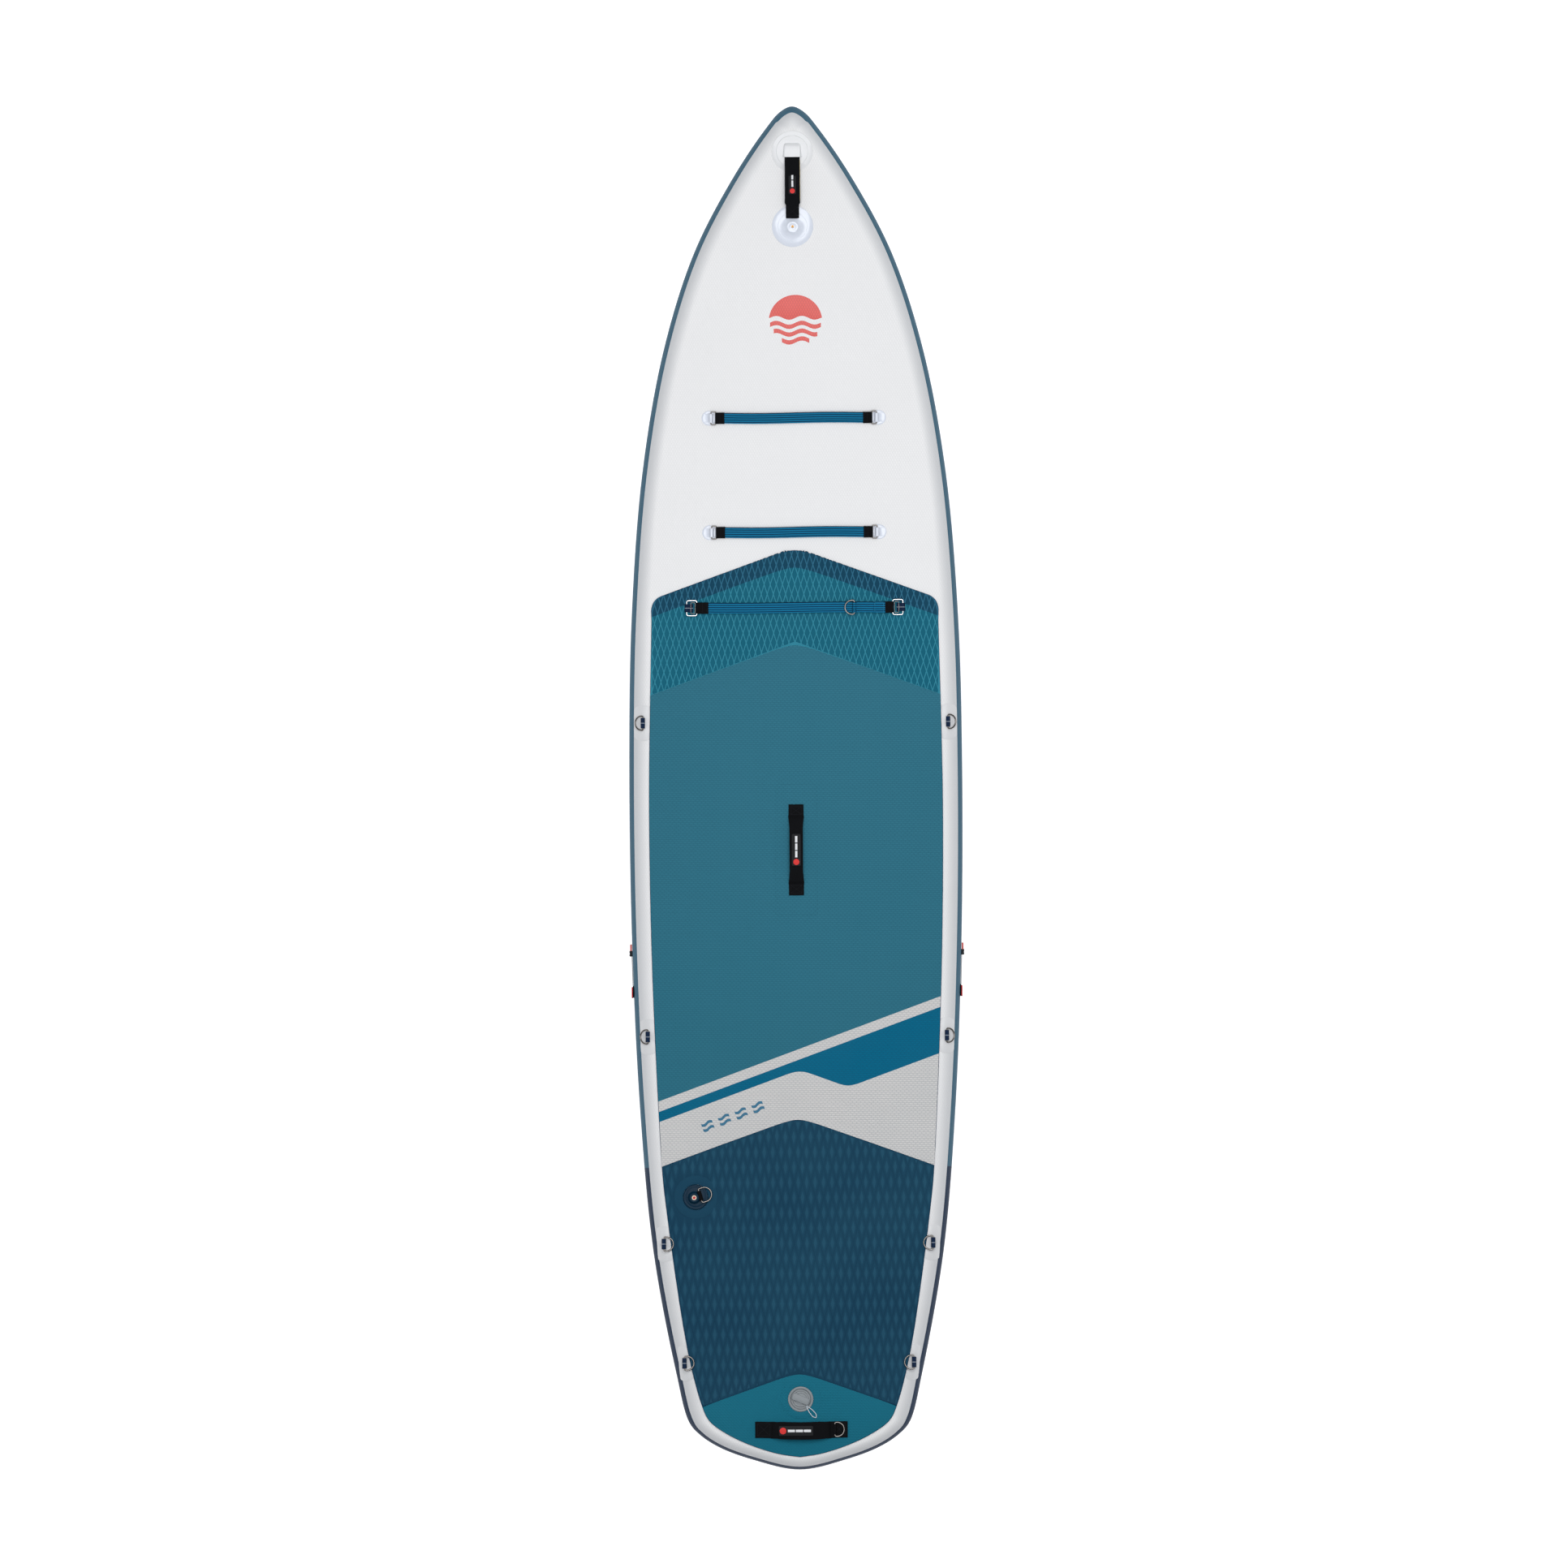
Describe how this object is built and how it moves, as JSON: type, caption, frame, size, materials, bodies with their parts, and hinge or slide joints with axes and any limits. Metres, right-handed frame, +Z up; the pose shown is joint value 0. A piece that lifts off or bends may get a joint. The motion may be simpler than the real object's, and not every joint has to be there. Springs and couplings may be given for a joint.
{
  "type": "stand up paddleboard",
  "caption": "Inflatable stand up paddleboard with grooved deck pad, cargo straps, side and tail rings, three carry handles, inflation valve and a sliding centre fin.",
  "frame": {"origin": "under the middle of the board, at the height of the fin's tip", "axes": "+X across to the rider's right, +Y towards the nose, +Z up from the deck"},
  "size_m": [0.86, 3.5029, 0.4806],
  "materials": {
    "drop_stitch": "matte",
    "white_skin": "satin",
    "rail_tape": "satin",
    "white_patch": "gloss",
    "teal_foam": "matte",
    "steel_foam": "matte",
    "navy_foam": "matte",
    "black_webbing": "matte",
    "blue_elastic": "matte",
    "stainless": "polished",
    "brass": "satin",
    "valve_grey": "satin",
    "black_plastic": "satin",
    "navy_plastic": "satin"
  },
  "bodies": {
    "board": {"drop_stitch_core": "drop_stitch", "deck_skin": "white_skin", "hull_skin": "white_skin", "rail_band": "rail_tape", "pad_front": "teal_foam", "pad_middle": "steel_foam", "pad_rear": "navy_foam", "pad_tail": "teal_foam", "nose_handle_patch": "white_patch", "nose_handle": "black_webbing", "nose_mount_patch": "white_patch", "nose_mount_insert": "brass", "cargo_strap_1": "blue_elastic", "cargo_anchor_1_left": "white_patch", "cargo_ring_1_left": "stainless", "cargo_anchor_1_right": "white_patch", "cargo_ring_1_right": "stainless", "cargo_strap_2": "blue_elastic", "cargo_anchor_2_left": "white_patch", "cargo_ring_2_left": "stainless", "cargo_anchor_2_right": "white_patch", "cargo_ring_2_right": "stainless", "cargo_strap_3": "blue_elastic", "cargo_frame_left": "stainless", "cargo_frame_right": "stainless", "rail_anchor_1_left": "white_patch", "rail_anchor_1_right": "white_patch", "rail_anchor_2_left": "white_patch", "rail_anchor_2_right": "white_patch", "rail_anchor_3_left": "white_patch", "rail_anchor_3_right": "white_patch", "rail_anchor_4_left": "white_patch", "rail_anchor_4_right": "white_patch", "leash_anchor": "navy_plastic", "centre_handle": "black_webbing", "tail_handle": "black_webbing", "valve_body": "valve_grey", "valve_spring": "stainless", "side_tab_left": "black_webbing", "side_pull_left": "black_plastic", "side_tab_right": "black_webbing", "side_pull_right": "black_plastic", "fin_box": "black_plastic"},
    "rail_ring_1_left": {"rail_ring_1_left": "stainless"},
    "rail_ring_1_right": {"rail_ring_1_right": "stainless"},
    "rail_ring_2_left": {"rail_ring_2_left": "stainless"},
    "rail_ring_2_right": {"rail_ring_2_right": "stainless"},
    "rail_ring_3_left": {"rail_ring_3_left": "stainless"},
    "rail_ring_3_right": {"rail_ring_3_right": "stainless"},
    "rail_ring_4_left": {"rail_ring_4_left": "stainless"},
    "rail_ring_4_right": {"rail_ring_4_right": "stainless"},
    "leash_ring": {"leash_ring": "stainless"},
    "tail_ring": {"tail_handle_ring": "stainless"},
    "strap_ring": {"cargo_strap_ring": "stainless"},
    "tether": {"cap_tether": "valve_grey"},
    "cap": {"valve_cap": "valve_grey"},
    "plunger": {"valve_plunger": "valve_grey"},
    "fin": {"fin": "black_plastic", "fin_screw": "stainless"}
  },
  "joints": [
    {"name": "rail_ring_1_left_swing", "type": "hinge", "parent": "board", "child": "rail_ring_1_left", "pos_m": [-0.392, 0.17, 0.347], "axis": [0, 1, 0], "range_deg": [0, 190]},
    {"name": "rail_ring_1_right_swing", "type": "hinge", "parent": "board", "child": "rail_ring_1_right", "pos_m": [0.392, 0.17, 0.347], "axis": [0, -1, 0], "range_deg": [0, 190]},
    {"name": "rail_ring_2_left_swing", "type": "hinge", "parent": "board", "child": "rail_ring_2_left", "pos_m": [-0.384, -0.637, 0.3455], "axis": [0, 1, 0], "range_deg": [0, 190]},
    {"name": "rail_ring_2_right_swing", "type": "hinge", "parent": "board", "child": "rail_ring_2_right", "pos_m": [0.384, -0.637, 0.3455], "axis": [0, -1, 0], "range_deg": [0, 190]},
    {"name": "rail_ring_3_left_swing", "type": "hinge", "parent": "board", "child": "rail_ring_3_left", "pos_m": [-0.346, -1.17, 0.35], "axis": [0, -1, 0], "range_deg": [0, 170]},
    {"name": "rail_ring_3_right_swing", "type": "hinge", "parent": "board", "child": "rail_ring_3_right", "pos_m": [0.346, -1.17, 0.35], "axis": [0, 1, 0], "range_deg": [0, 170]},
    {"name": "rail_ring_4_left_swing", "type": "hinge", "parent": "board", "child": "rail_ring_4_left", "pos_m": [-0.295, -1.477, 0.35], "axis": [0, -1, 0], "range_deg": [0, 170]},
    {"name": "rail_ring_4_right_swing", "type": "hinge", "parent": "board", "child": "rail_ring_4_right", "pos_m": [0.295, -1.477, 0.35], "axis": [0, 1, 0], "range_deg": [0, 170]},
    {"name": "leash_ring_swing", "type": "hinge", "parent": "board", "child": "leash_ring", "pos_m": [-0.25252, -1.04649, 0.3528], "axis": [0.2924, -0.9563, 0], "range_deg": [0, 110]},
    {"name": "tail_ring_swing", "type": "hinge", "parent": "board", "child": "tail_ring", "pos_m": [0.0905, -1.649, 0.3552], "axis": [0, -1, 0], "range_deg": [0, 140]},
    {"name": "strap_ring_swing", "type": "hinge", "parent": "board", "child": "strap_ring", "pos_m": [0.153, 0.465, 0.3613], "axis": [0, 1, 0], "range_deg": [0, 170]},
    {"name": "cap_lift", "type": "slide", "parent": "board", "child": "tether", "axis": [0, 0, 1], "range_m": [0, 0.06]},
    {"name": "cap_turn", "type": "hinge", "parent": "tether", "child": "cap", "pos_m": [0.003, -1.571, 0.349], "axis": [0, 0, 1], "range_deg": [0, 90]},
    {"name": "valve_press", "type": "slide", "parent": "board", "child": "plunger", "axis": [0, 0, -1], "range_m": [0, 0.008], "stiffness_N_per_m": 300, "springref_m": -0.003, "deforming": ["valve_spring"]},
    {"name": "fin_slide", "type": "slide", "parent": "board", "child": "fin", "axis": [0, 1, 0], "range_m": [-0.04, 0.04]}
  ]
}
